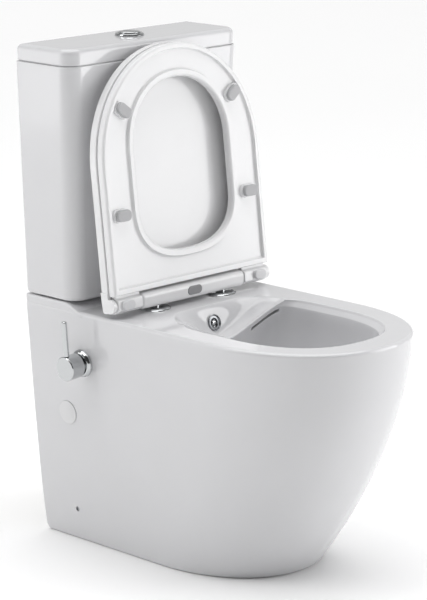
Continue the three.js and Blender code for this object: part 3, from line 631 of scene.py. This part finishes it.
def make_pan():
    pan = cut(pan_skirt(), pan_hollow())
    shelf = cut(platform(), block("under_shelf", (-160, 160), (-90, 4), (DECK_UNDER - 2, DECK_UNDER)))
    pan = join(
        pan,
        shelf,
        bowl_shell(),
        landing("landing_body", CERAMIC, 20, 30),
        block("rear_wall", (-114, 114), (-292, -247), (295, 350)),
        tube("trap_body", TRAP, 45),
        tube("duct_body", DUCT, 32),
        block("rear_foot", (-132, 132), (-30, 0), (0, 28)),
    )
    pan = cut(pan, block("trap_face", (-60, 60), (-13, 5), (120, 240)))
    mixer, blank, jet = wall_frame(**MIXER), wall_frame(**BLANK), jet_frame()
    pan = cut(
        pan,
        bowl_hollow(),
        landing("landing", 0),
        block("chamber", (-104, 104), (-279, -258), (304, 336)),
        *[flush_slot(side, 262, 279, 90) for _, side in SIDES],
        *[flush_slot(side, 275, 300, 5) for _, side in SIDES],
        tube("trap_bore", [*TRAP[:-1], (0, 4, 180)], 33),
        tube("duct_bore", [(0, -60, 430), *DUCT], 22),
        lip_rounding(),
        rod("outlet", 55, 401, 415, at(0, FLUSH_D)),
        rod("supply_hole", 21, 380, 415, at(*FILL)),
        rod("mixer_hole", 17.5, -24, 12, mixer),
        rod("blank_hole", 17, -24, 12, blank),
        rod("jet_bore", 8.6, -40, 10, jet),
        rod("jet_seat", 14, -2.6, 22, jet),
        rod("jet_back", 14.5, -60, -16, jet),
    )
    for _, side in SIDES:
        across = FROM_WALL @ Matrix.Translation((side * 142, -SIDE_FIXING["d"], SIDE_FIXING["z"]))
        pan = cut(
            pan,
            rod("coupling_hole", 7, 380, 415, at(side * COUPLING[0], COUPLING[1])),
            rod("post_hole", 7, 380, 405, at(side * POST[0], POST[1])),
            rod("side_hole", 4.5, -20, 20, across @ Matrix.Rotation(math.pi / 2, 4, "Y")),
        )
    shown(pan, "pan_ceramic", "pan_body", "glaze", CHINA, BISCUIT, nodes=("pan",))
    for face in pan.data.polygons:
        face.material_index = 1 if is_raw(face.center) else 0
    return pan


# ---- Cistern and its lid ----
CISTERN_Z, CISTERN_FLOOR_Z = 413, 423
SEAM_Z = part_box("cistern_lid")[0].z / MM + 9
TOP_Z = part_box("cistern_lid")[1].z / MM
CISTERN_WALL = 9
# The shadow line under the lid, and how far the lid stands back from the cistern's sides.
SEAM_GAP, SEAM_DEPTH, LID_INSET = 1.5, 4.5, 2


def cistern_outline(level, z, inset):
    share = (level - 411) / (794.5 - 411)
    half = 178.5 + 13.5 * share - inset
    front = 116.2 + 12.3 * share - inset
    back = 1 + inset
    large, small = max(28 - inset, 6), max(6 - inset, 1.5)
    corners = (
        (half - small, back + small, small, 0, 6),
        (small - half, back + small, small, math.pi / 2, 6),
        (large - half, front - large, large, math.pi, 18),
        (half - large, front - large, large, 1.5 * math.pi, 18),
    )
    points = []
    for x, d, radius, start, steps in corners:
        for turn in spread(start, start + math.pi / 2, steps):
            points.append((x + radius * math.cos(turn), -d + radius * math.sin(turn), z))
    return points


def make_cistern():
    foot = [(CISTERN_Z + rise * 1.6, inset) for rise, inset in edge_arc(5, 8)]
    walls = [(z, 0) for z in spread(440, SEAM_Z - 6, 8)]
    shoulder = [(SEAM_Z - SEAM_GAP - rise * 1.7, inset) for rise, inset in reversed(edge_arc(1.2, 5))]
    shoulder += [(SEAM_Z - SEAM_GAP, SEAM_DEPTH), (SEAM_Z - 0.3, SEAM_DEPTH)]
    outside = [cistern_outline(z, z, inset) for z, inset in [*foot, *walls, *shoulder]]
    hollow = [*[(CISTERN_FLOOR_Z + rise * 2, inset) for rise, inset in edge_arc(3)], (SEAM_Z + 1, 0)]
    inside = [cistern_outline(z, z, CISTERN_WALL + inset) for z, inset in hollow]
    tub = cut(
        loft("cistern_tub", outside),
        loft("water_space", inside),
        rod("outlet", 31.5, 405, 430, at(0, FLUSH_D)),
        rod("supply_hole", 11, 405, 430, at(*FILL)),
        *[rod("coupling_hole", 6, 405, 430, at(side * COUPLING[0], COUPLING[1])) for _, side in SIDES],
    )
    shown(tub, "cistern_ceramic", "pan_body", "glaze", CHINA, nodes=("cistern",))


def make_cistern_lid():
    skirt = [(SEAM_Z + rise * 1.5, LID_INSET + inset) for rise, inset in edge_arc(0.8, 4)]
    crown = [(TOP_Z - rise, LID_INSET + inset) for rise, inset in reversed(edge_arc(9, 12))]
    cap = loft("cap", [cistern_outline(794.5, z, inset) for z, inset in [*skirt, *crown]])
    lip = loft("lip", [cistern_outline(794.5, z, CISTERN_WALL + 2) for z in (SEAM_Z - 9, SEAM_Z + 4)])
    under = loft("under", [cistern_outline(794.5, z, CISTERN_WALL + 8) for z in (SEAM_Z - 10, TOP_Z - 9)])
    hole = rod("button_hole", 20.5, 780, 830, at(0, BUTTON_D))
    lid = cut(join(cap, lip), under, hole)
    shown(lid, "cistern_lid_ceramic", "pan_body", "glaze", CHINA, nodes=("cistern_lid",))


# ---- Seat, drawn closed: x across, s forward of the hinge line, n over it ----
SEAT_UNDER, RING_TOP = -13.6, 1
LID_UNDER, LID_INSIDE, LID_TOP = 2, 14.6, 19
SEAT_REAR, SEAT_TIP, SEAT_STRAIGHT, SEAT_HALF = 16.2, 399, 215, 174.5
LUG, EAR = (116.4, 168.5), (169.1, 177)
KNUCKLE, EAR_RADIUS = 13.4, 11.5
DAMPER = 5.35
SEAT_STEPS = 120  # points round a curved outline
BUFFERS = {"front": (122.5, 305, -38), "rear": (143, 141, 0)}


def seat_outline(grow, n, rear=None):
    half, reach = SEAT_HALF + grow, SEAT_TIP + grow - SEAT_STRAIGHT
    start = SEAT_REAR + max(-0.5 * grow, 0) if rear is None else rear
    points = [(-half, -s, n) for s in spread(start, SEAT_STRAIGHT, 5)[:-1]]
    for turn in spread(0, math.pi, SEAT_STEPS):
        x = -half * sgn_power(math.cos(turn), 2 / 2.05)
        points.append((x, -SEAT_STRAIGHT - reach * max(math.sin(turn), 0) ** (2 / 2.05), n))
    return points + [(half, -s, n) for s in spread(SEAT_STRAIGHT, start, 5)[1:]]


def opening_outline(grow, n):
    points = []
    for i in range(SEAT_STEPS):
        turn = 2 * math.pi * i / SEAT_STEPS
        ahead = math.sin(turn) > 0
        power, middle, reach = (2.1, 238, 107 + grow) if ahead else (2.5, 152, 83 + grow)
        x = (105 + grow) * sgn_power(math.cos(turn), 2 / power)
        points.append((x, -middle - reach * sgn_power(math.sin(turn), 2 / power), n))
    return points


def across(name, outline, start, end, edge, place):
    """A solid along x from start to end with the outline of (s, n) points, its two end edges eased."""
    middle = Vector((sum(p[0] for p in outline), sum(p[1] for p in outline))) / len(outline)
    size = max((Vector(p) - middle).length for p in outline)
    ends = [(start + rise, inset) for rise, inset in edge_arc(edge, 4)]
    ends += [(end - rise, inset) for rise, inset in reversed(edge_arc(edge, 4))]
    sections = []
    for x, inset in ends:
        scale = 1 - inset / size
        sections.append([(x, -mix(middle.x, s, scale), mix(middle.y, n, scale)) for s, n in outline])
    return loft(name, sections, place)


def arc_points(radius, start, end, steps):
    turns = [math.radians(t) for t in spread(start, end, steps)]
    return [(radius * math.cos(t), radius * math.sin(t)) for t in turns]


def damper_bores(start, end):
    bores = []
    for _, side in SIDES:
        low, high = sorted((side * start, side * end))
        bores.append(rod("bore", DAMPER, low, high, ON_SEAT @ Matrix.Rotation(math.pi / 2, 4, "Y")))
    return bores


def pad_frame(side, x, s, n, lean):
    """A frame on the seat's underside whose +z points out of it."""
    turn = Matrix.Rotation(math.radians(side * lean), 4, "Z") @ Matrix.Rotation(math.pi, 4, "X")
    return ON_SEAT @ Matrix.Translation((side * x, -s, n)) @ turn


def trough():
    """The hollow of the ring's underside, between its rim and the lip, round the buffers' pedestals."""
    walls = [(SEAT_UNDER - 1, 0), (SEAT_UNDER + 0.4, 0.4)]
    walls += [(SEAT_UNDER + 5 - up, 1 + inset) for up, inset in reversed(edge_arc(3.4, 6))]
    hollow = loft(
        "hollow",
        [seat_outline(-8.5 - inset, n, rear=SEAT_REAR + 8.5 + inset) for n, inset in walls],
        ON_SEAT,
    )
    lip = [(SEAT_UNDER - 2, 10.0), *[(n, 10 + inset) for n, inset in walls], (SEAT_UNDER + 7, 15.0)]
    tools = [loft("lip", [opening_outline(grow, n) for n, grow in lip], ON_SEAT)]
    for _, side in SIDES:
        for x, s, lean in BUFFERS.values():
            tools.append(pad("pedestal", 34, 22, 9.5, 10, 0.6, pad_frame(side, x, s, SEAT_UNDER + 8, lean)))
    return cut(hollow, *tools)


def make_ring():
    rise = RING_TOP - SEAT_UNDER
    levels = [(SEAT_UNDER + up, -inset) for up, inset in edge_arc(4.6, 8)]
    levels += [(SEAT_UNDER + rise - up, -inset) for up, inset in reversed(edge_arc(2.6, 6))]
    plate = loft("ring", [seat_outline(grow, n) for n, grow in levels], ON_SEAT)
    mouth = [(SEAT_UNDER - 1, 5.0)] + [(SEAT_UNDER + up, inset) for up, inset in edge_arc(4.4, 8)]
    mouth += [(RING_TOP - up, inset) for up, inset in reversed(edge_arc(4.4, 8))] + [(RING_TOP + 1, 5.0)]
    opening = loft("opening", [opening_outline(grow, n) for n, grow in mouth], ON_SEAT)
    corners = [(SEAT_REAR + 6, -7), (11.2, -7, 1.5), (8.2, -KNUCKLE, 2.5), (-8, -KNUCKLE, 3), (-9.47, -9.6)]
    profile = eased(corners, 4) + arc_points(KNUCKLE, 225, 3, 40) + [(SEAT_REAR + 6, RING_TOP - 0.4)]
    lugs = []
    for _, side in SIDES:
        low, high = sorted((side * LUG[0], side * LUG[1]))
        lugs.append(across("lug", profile, low, high, 1.2, ON_SEAT))
    ring = cut(join(cut(plate, opening, trough()), *lugs), *damper_bores(LUG[0] - 2, LUG[1] + 2))
    shown(ring, "seat_ring_moulding", "ring", "seat", DUROPLAST, nodes=("seat_ring",))


def make_lid():
    levels = [(LID_UNDER + up, 1.5 - inset) for up, inset in edge_arc(1.2, 4)]
    levels += [(LID_TOP - up, 1.5 - inset) for up, inset in reversed(edge_arc(5.5, 10))]
    shell = loft("lid", [seat_outline(grow, n) for n, grow in levels], ON_SEAT)
    floor = [(LID_UNDER - 1, -4.5), (LID_INSIDE - 4, -4.5)]
    floor += [(LID_INSIDE - up, -4.5 - inset) for up, inset in reversed(edge_arc(4, 6))]
    inside = loft(
        "inside",
        [seat_outline(grow, n, rear=SEAT_REAR + 5 - (grow + 4.5)) for n, grow in floor],
        ON_SEAT,
    )
    profile = [(SEAT_REAR + 6, LID_UNDER + 0.2)] + arc_points(EAR_RADIUS, 11, -200, 44)
    profile += eased([(-EAR_RADIUS, 6), (-EAR_RADIUS, 16, 6), (0, 16.6, 8), (SEAT_REAR + 6, LID_TOP - 1)], 5)
    ears = []
    for _, side in SIDES:
        low, high = sorted((side * EAR[0], side * EAR[1]))
        ears.append(across("ear", profile, low, high, 1.2, ON_SEAT))
    lid = cut(join(cut(shell, inside), *ears), *damper_bores(EAR[0] - 2, EAR[1] - 2.5))
    shown(lid, "seat_lid_moulding", "lid", "seat", DUROPLAST, nodes=("seat_lid",))


def make_seat_pads():
    for word, side in SIDES:
        for name, (x, s, lean) in BUFFERS.items():
            node = f"seat_buffer_{name}_{word}"
            buffer = pad("buffer", 30, 18, 8, 5.7, 1.8, pad_frame(side, x, s, SEAT_UNDER - 0.3, lean))
            shown(buffer, f"{node}_moulding", "ring", "pads", BUFFER_GREY, nodes=(node,))
        foot = pad("foot", 26, 15, 7, 5.1, 1.6, pad_frame(side, 149.5, 0, -KNUCKLE - 0.3, 0))
        shown(foot, f"lug_pad_{word}_moulding", "ring", "pads", PALE_PAD, nodes=(f"lug_pad_{word}",))


# ---- Hinge bar, its release button and the posts ----
BAR_HALF = 115.7
POCKET_Z = 0.5


def facing_front(y, z):
    """A frame on the hinge bar whose +z points to the front."""
    return AT_HINGE @ Matrix.Translation((0, y, z)) @ Matrix.Rotation(math.pi / 2, 4, "X")


def make_hinge_bar():
    section = rounded_outline(27, 27, 9, steps=12)
    bar = across("bar", section, -BAR_HALF, BAR_HALF, 5, AT_HINGE)
    pocket = pad("pocket", 31.8, 14.8, 6.9, 12, 0.1, facing_front(-5, POCKET_Z))
    sockets = [
        rod("socket", 8.4, -20, -3, AT_HINGE @ Matrix.Translation((side * POST[0], 3, 0)))
        for _, side in SIDES
    ]
    bores = []
    for _, side in SIDES:
        low, high = sorted((side * (BAR_HALF - 30), side * (BAR_HALF + 2)))
        bores.append(rod("bore", DAMPER, low, high, AT_HINGE @ Matrix.Rotation(math.pi / 2, 4, "Y")))
    bar = cut(bar, pocket, *sockets, *bores)
    shown(bar, "hinge_bar_moulding", "pan_body", "seat", DUROPLAST, nodes=("hinge_bar",))
    button = pad("button", 31, 14, 6.5, 7, 1.1, facing_front(-7.6, POCKET_Z))
    shown(button, "release_button_moulding", "release", "release", RELEASE_GREY, nodes=("release_button",))


def thread(radius, start, end):
    """The outline of a threaded rod, its ridges drawn as rings."""
    pitch, depth = 1.25, 0.65
    line = [(0, start), (radius - depth, start)]
    for i in range(int((end - start) / pitch)):
        z = start + i * pitch
        line += [(radius, z + pitch * 0.35), (radius, z + pitch * 0.6), (radius - depth, z + pitch)]
    return line + [(radius, end), (0, end)]


def wing_nut(name, bore, height, place):
    collar = turned("collar", eased([(0, 0), (9, 0, 0.8), (7.5, height, 0.8), (0, height)], 4), place)
    wings = pad("wings", 36, 3.4, 1.6, height * 0.8, 1.2, place)
    return cut(join(collar, wings), rod("hole", bore, -1, height + 1, place))


def make_posts():
    disc = eased([
        (0, 10.6), (4.6, 10.6), (4.6, 0), (25.8, 0), (26, 0.4, 0.3), (25, 1.8, 2), (22, 3.2, 3),
        (8, 3.6, 0.8), (8, 16, 0.5), (0, 16),
    ], 5)
    for word, side in SIDES:
        x = side * POST[0]
        cover = turned("cover", disc, at(x, POST[1], RIM_Z + 0.3))
        shown(cover, f"hinge_disc_{word}_plated", "pan_body", "chrome", CHROME, nodes=(f"hinge_disc_{word}",))
        bolt = turned("bolt", thread(4, 338, 410), at(x, POST[1]), 28)
        shown(bolt, f"hinge_bolt_{word}_threaded", "pan_body", "steel", ZINC_STEEL,
              nodes=(f"hinge_bolt_{word}",))
        nut = wing_nut("nut", 4.3, 13, at(x, POST[1], 367.5))
        shown(nut, f"hinge_wing_nut_{word}_moulded", "pan_body", "white_plastic", WHITE_ACETAL,
              nodes=(f"hinge_wing_nut_{word}",))
        cx, cd = side * COUPLING[0], COUPLING[1]
        nut = wing_nut("nut", 4.3, 13, at(cx, cd, 372.5))
        shown(nut, f"coupling_wing_nut_{word}_cast", "pan_body", "brass", BRASS,
              nodes=(f"coupling_wing_nut_{word}",))


# ---- Dual flush button ----
def make_flush_button():
    ring = [
        (17.8, 788), (19.2, 788), (19.2, 820.8), (23.6, 820.8, 0.3), (24, 821.6, 0.5), (23, 823.8, 1.2),
        (21, 824.6, 1.4), (18.4, 824, 0.8), (17.8, 822.6, 0.6), (17.8, 788),
    ]
    bezel = turned("bezel", eased(ring, 5), at(0, BUTTON_D), 96)
    shown(bezel, "button_bezel_plated", "pan_body", "chrome", CHROME, nodes=("button_bezel",))
    for word, side in (("full", 1), ("half", -1)):
        levels = [(818, 0), *[(827 - rise, inset) for rise, inset in reversed(edge_arc(1.6, 6))]]
        sections = []
        for z, inset in levels:
            radius = 17.3 - inset
            start = math.asin((0.5 + inset) / radius)
            turns = spread(-math.pi / 2 + start, math.pi / 2 - start, 40)
            sections.append([(side * radius * math.cos(t), radius * math.sin(t), z) for t in turns])
        key = loft("key", sections, at(0, BUTTON_D))
        shown(key, f"button_{word}_plated", f"{word}_flush", "chrome", CHROME, nodes=(f"button_{word}",))


# ---- Side mixer, blanking cap and jet ----
def make_mixer():
    place = wall_frame(**MIXER)
    flange = [
        (16.5, 0.6), (22.6, 0.6, 0.3), (23, 1.6, 0.4), (22.4, 4.4, 1.5), (20.2, 7.4, 2), (18, 8.6, 0.6),
        (16.5, 8.6), (16.5, 0.6),
    ]
    shown(turned("flange", eased(flange, 5), place, 96), "mixer_flange_plated", "pan_body", "chrome", CHROME,
          nodes=("mixer_flange",))
    body = [
        (0, -46), (11, -46, 0.6), (11, -40), (15.5, -38), (15.5, -16), (15.8, 0), (15.8, 12.5, 0.4),
        (12, 12.5), (12, 20), (0, 20),
    ]
    shown(turned("body", eased(body, 4), place), "mixer_body_plated", "pan_body", "chrome", CHROME,
          nodes=("mixer_body",))
    handle = [
        (0, 20.4), (12.6, 20.4), (12.6, 13), (18.9, 13, 0.4), (20, 14.4, 0.8), (20, 38.2, 0.8),
        (19, 39.4, 0.8), (0, 39.6),
    ]
    shown(turned("handle", eased(handle, 5), place, 96), "mixer_handle_plated", "handle", "chrome", CHROME,
          nodes=("mixer_handle",))
    pin = place @ Matrix.Translation((20.3, 0, 33.4)) @ Matrix.Rotation(math.pi / 2, 4, "Y")
    dome = [(4.4 * math.cos(t), 55.2 + 2.8 * math.sin(t)) for t in spread(0, math.pi / 2, 8)]
    lever = [(0, 0), (4.4, 0), *dome[:-1], (0, 58)]
    shown(turned("lever", lever, pin, 48), "mixer_lever_plated", "handle", "chrome", CHROME,
          nodes=("mixer_lever",))
    cap = [
        (0, -11), (16.6, -11), (16.6, 0.5), (20, 0.5, 0.2), (19.6, 1.4, 0.6), (12, 2, 3), (0, 2.2),
    ]
    blank = turned("cap", eased(cap, 5), wall_frame(**BLANK), 96)
    shown(blank, "blank_cap_moulding", "pan_body", "cap", CAP_WHITE, nodes=("blank_cap",))


def make_jet():
    place = jet_frame()
    ring = [
        (5.8, -44), (8, -44), (8, -2.2), (13.6, -2.2, 0.2), (13.6, -0.4, 0.6), (13, 0.2, 0.5), (12.2, 0, 0.6),
        (9.6, -5, 0.8), (6.4, -7, 0.6), (5.8, -8), (5.8, -44),
    ]
    # The bezel's darker colour is painted shade standing in for the dim reflections in its funnel.
    shown(turned("ring", eased(ring, 5), place, 80), "nozzle_bezel_plated", "pan_body", "chrome", CHROME_DARKENED_AS_SHADE,
          nodes=("nozzle_bezel",))
    tip = [
        (1, -30), (5.4, -30), (5.4, -8, 0.5), (4, -7, 0.4), (4, -2.4, 0.4), (3, -1.4, 0.5), (1, -1.4),
        (1, -30),
    ]
    shown(turned("tip", eased(tip, 4), place, 48), "nozzle_jet_plated", "pan_body", "chrome", CHROME,
          nodes=("nozzle_jet",))
    route = (
        (-125, -127, 318.7), (-108, -127, 319.9), (-78, -141, 330), (-50, -160, 344), (-24, -177, 353),
        (-5, -192, 357.6), (0, -203, 359.8), (0, -212.7, 362.3),
    )
    shown(tube("hose", route, 5, 90, 28), "nozzle_hose_braided", "pan_body", "braid", BRAID,
          nodes=("nozzle_hose",))


# ---- Pieces whose worked shape is already right ----
KEPT = {
    "mixer_back_nut": BRASS, "mixer_inlet": BRASS, "nozzle_nut": BRASS, "button_nut": WHITE_ACETAL,
    "flush_valve_body": WHITE_ACETAL, "flush_valve_lift": BLUE_ACETAL, "flush_valve_nut": WHITE_ACETAL,
    "coupling_gasket": BLACK_RUBBER, "fill_valve_tower": WHITE_ACETAL, "fill_valve_float": BLUE_ACETAL,
    "fill_valve_nut": WHITE_ACETAL, "push_rod_full": WHITE_ACETAL, "push_rod_half": WHITE_ACETAL,
}
for word, _ in SIDES:
    KEPT[f"damper_pin_{word}"] = WHITE_ACETAL
    KEPT[f"hinge_washer_{word}"] = BLACK_RUBBER
    KEPT[f"coupling_bolt_{word}"] = BRASS
    KEPT[f"coupling_washer_{word}"] = BLACK_RUBBER
    KEPT[f"floor_bracket_{word}"] = WHITE_ACETAL
    KEPT[f"side_screw_{word}"] = ZINC_STEEL


def finish_kept_pieces():
    for name, made_of in KEPT.items():
        for material_slot in frame["nodes"][name].material_slots:
            material_slot.material = made_of


make_pan()
make_cistern()
make_cistern_lid()
make_ring()
make_lid()
make_seat_pads()
make_hinge_bar()
make_posts()
make_flush_button()
make_mixer()
make_jet()
finish_kept_pieces()


# ---- Floor, light and camera ----
def make_floor():
    material, tree, body, spot = new_finish("matt_pale_floor", Roughness=0.9)
    cloud = add(tree, "ShaderNodeTexNoise", {"Vector": spot}, Scale=0.6, Detail=2.0)
    tint = add(tree, "ShaderNodeMix", {0: cloud.outputs[0]}, data_type="RGBA")
    tint.inputs[6].default_value = linear("#fdfdfd")
    tint.inputs[7].default_value = linear("#fafafa")
    tree.links.new(tint.outputs[2], body.inputs["Base Color"])
    corners = [(-30, -30, 0), (30, -30, 0), (30, 30, 0), (-30, 30, 0)]
    floor = made("floor", corners, [(0, 1, 2, 3)], Matrix.Identity(4))
    floor.data.materials.append(material)


def softbox(name, place, aim, size, power):
    light = bpy.data.lights.new(name, "AREA")
    light.shape = "RECTANGLE"
    light.size, light.size_y = size
    light.energy = power
    obj = bpy.data.objects.new(name, light)
    obj.location = place
    obj.rotation_euler = (Vector(aim) - Vector(place)).to_track_quat("-Z", "Y").to_euler()
    bpy.context.scene.collection.objects.link(obj)


def make_light():
    # A dim studio, darkest behind the camera, with an even overhead, a tall softbox on either side of the
    # view and a small key at the upper left: what faces the camera is shaded, what turns away is bright.
    world = bpy.data.worlds.new("studio")
    world.use_nodes = True
    tree = world.node_tree
    background = tree.nodes["Background"]
    background.inputs["Strength"].default_value = 1.0
    way = add(tree, "ShaderNodeTexCoord").outputs["Generated"]
    towards = add(tree, "ShaderNodeVectorMath", {0: way}, operation="DOT_PRODUCT")
    towards.inputs[1].default_value = (-0.68, -0.68, 0.27)
    turned_away = add(tree, "ShaderNodeMapRange", {"Value": towards.outputs["Value"]}, From_Min=-1.0)
    shade = add(tree, "ShaderNodeValToRGB", {"Fac": turned_away.outputs[0]})
    ramp = shade.color_ramp
    for share, level in ((0.0, 0.6), (0.5, 0.26), (0.95, 0.06)):
        stop = ramp.elements[0] if share == 0 else ramp.elements.new(share)
        stop.position, stop.color = share, (level, level, level, 1)
    ramp.elements.remove(ramp.elements[-1])
    tree.links.new(shade.outputs[0], background.inputs["Color"])
    bpy.context.scene.world = world
    sun = bpy.data.lights.new("overhead", "SUN")
    sun.energy = 2.4
    sun.angle = math.radians(70)
    overhead = bpy.data.objects.new("overhead", sun)
    bpy.context.scene.collection.objects.link(overhead)
    middle = (0, -0.3, 0.45)
    softbox("left_side", (-2.6, 1.6, 1.0), middle, (1.8, 2.4), 20)
    softbox("key", (-1.8, 0.84, 2.5), middle, (1.1, 1.1), 8)
    softbox("right_side", (2.2, -2.6, 1.0), middle, (1.8, 2.4), 44)


def make_camera():
    camera = bpy.data.cameras.new("camera")
    camera.sensor_fit = "VERTICAL"
    camera.sensor_height = 36
    camera.lens = 155.5
    camera.clip_end = 100
    obj = bpy.data.objects.new("camera", camera)
    place = Vector((-2.8715, -3.0913, 1.389))
    aim = Vector((-0.4586, -0.6932, 0.5666))
    roll = Matrix.Rotation(math.radians(-0.25), 4, "Z")
    look = (aim - place).to_track_quat("-Z", "Y").to_matrix().to_4x4()
    obj.matrix_world = Matrix.Translation(place) @ look @ roll
    bpy.context.scene.collection.objects.link(obj)
    bpy.context.scene.camera = obj
    bpy.context.scene.view_settings.view_transform = "Standard"


make_floor()
make_light()
make_camera()
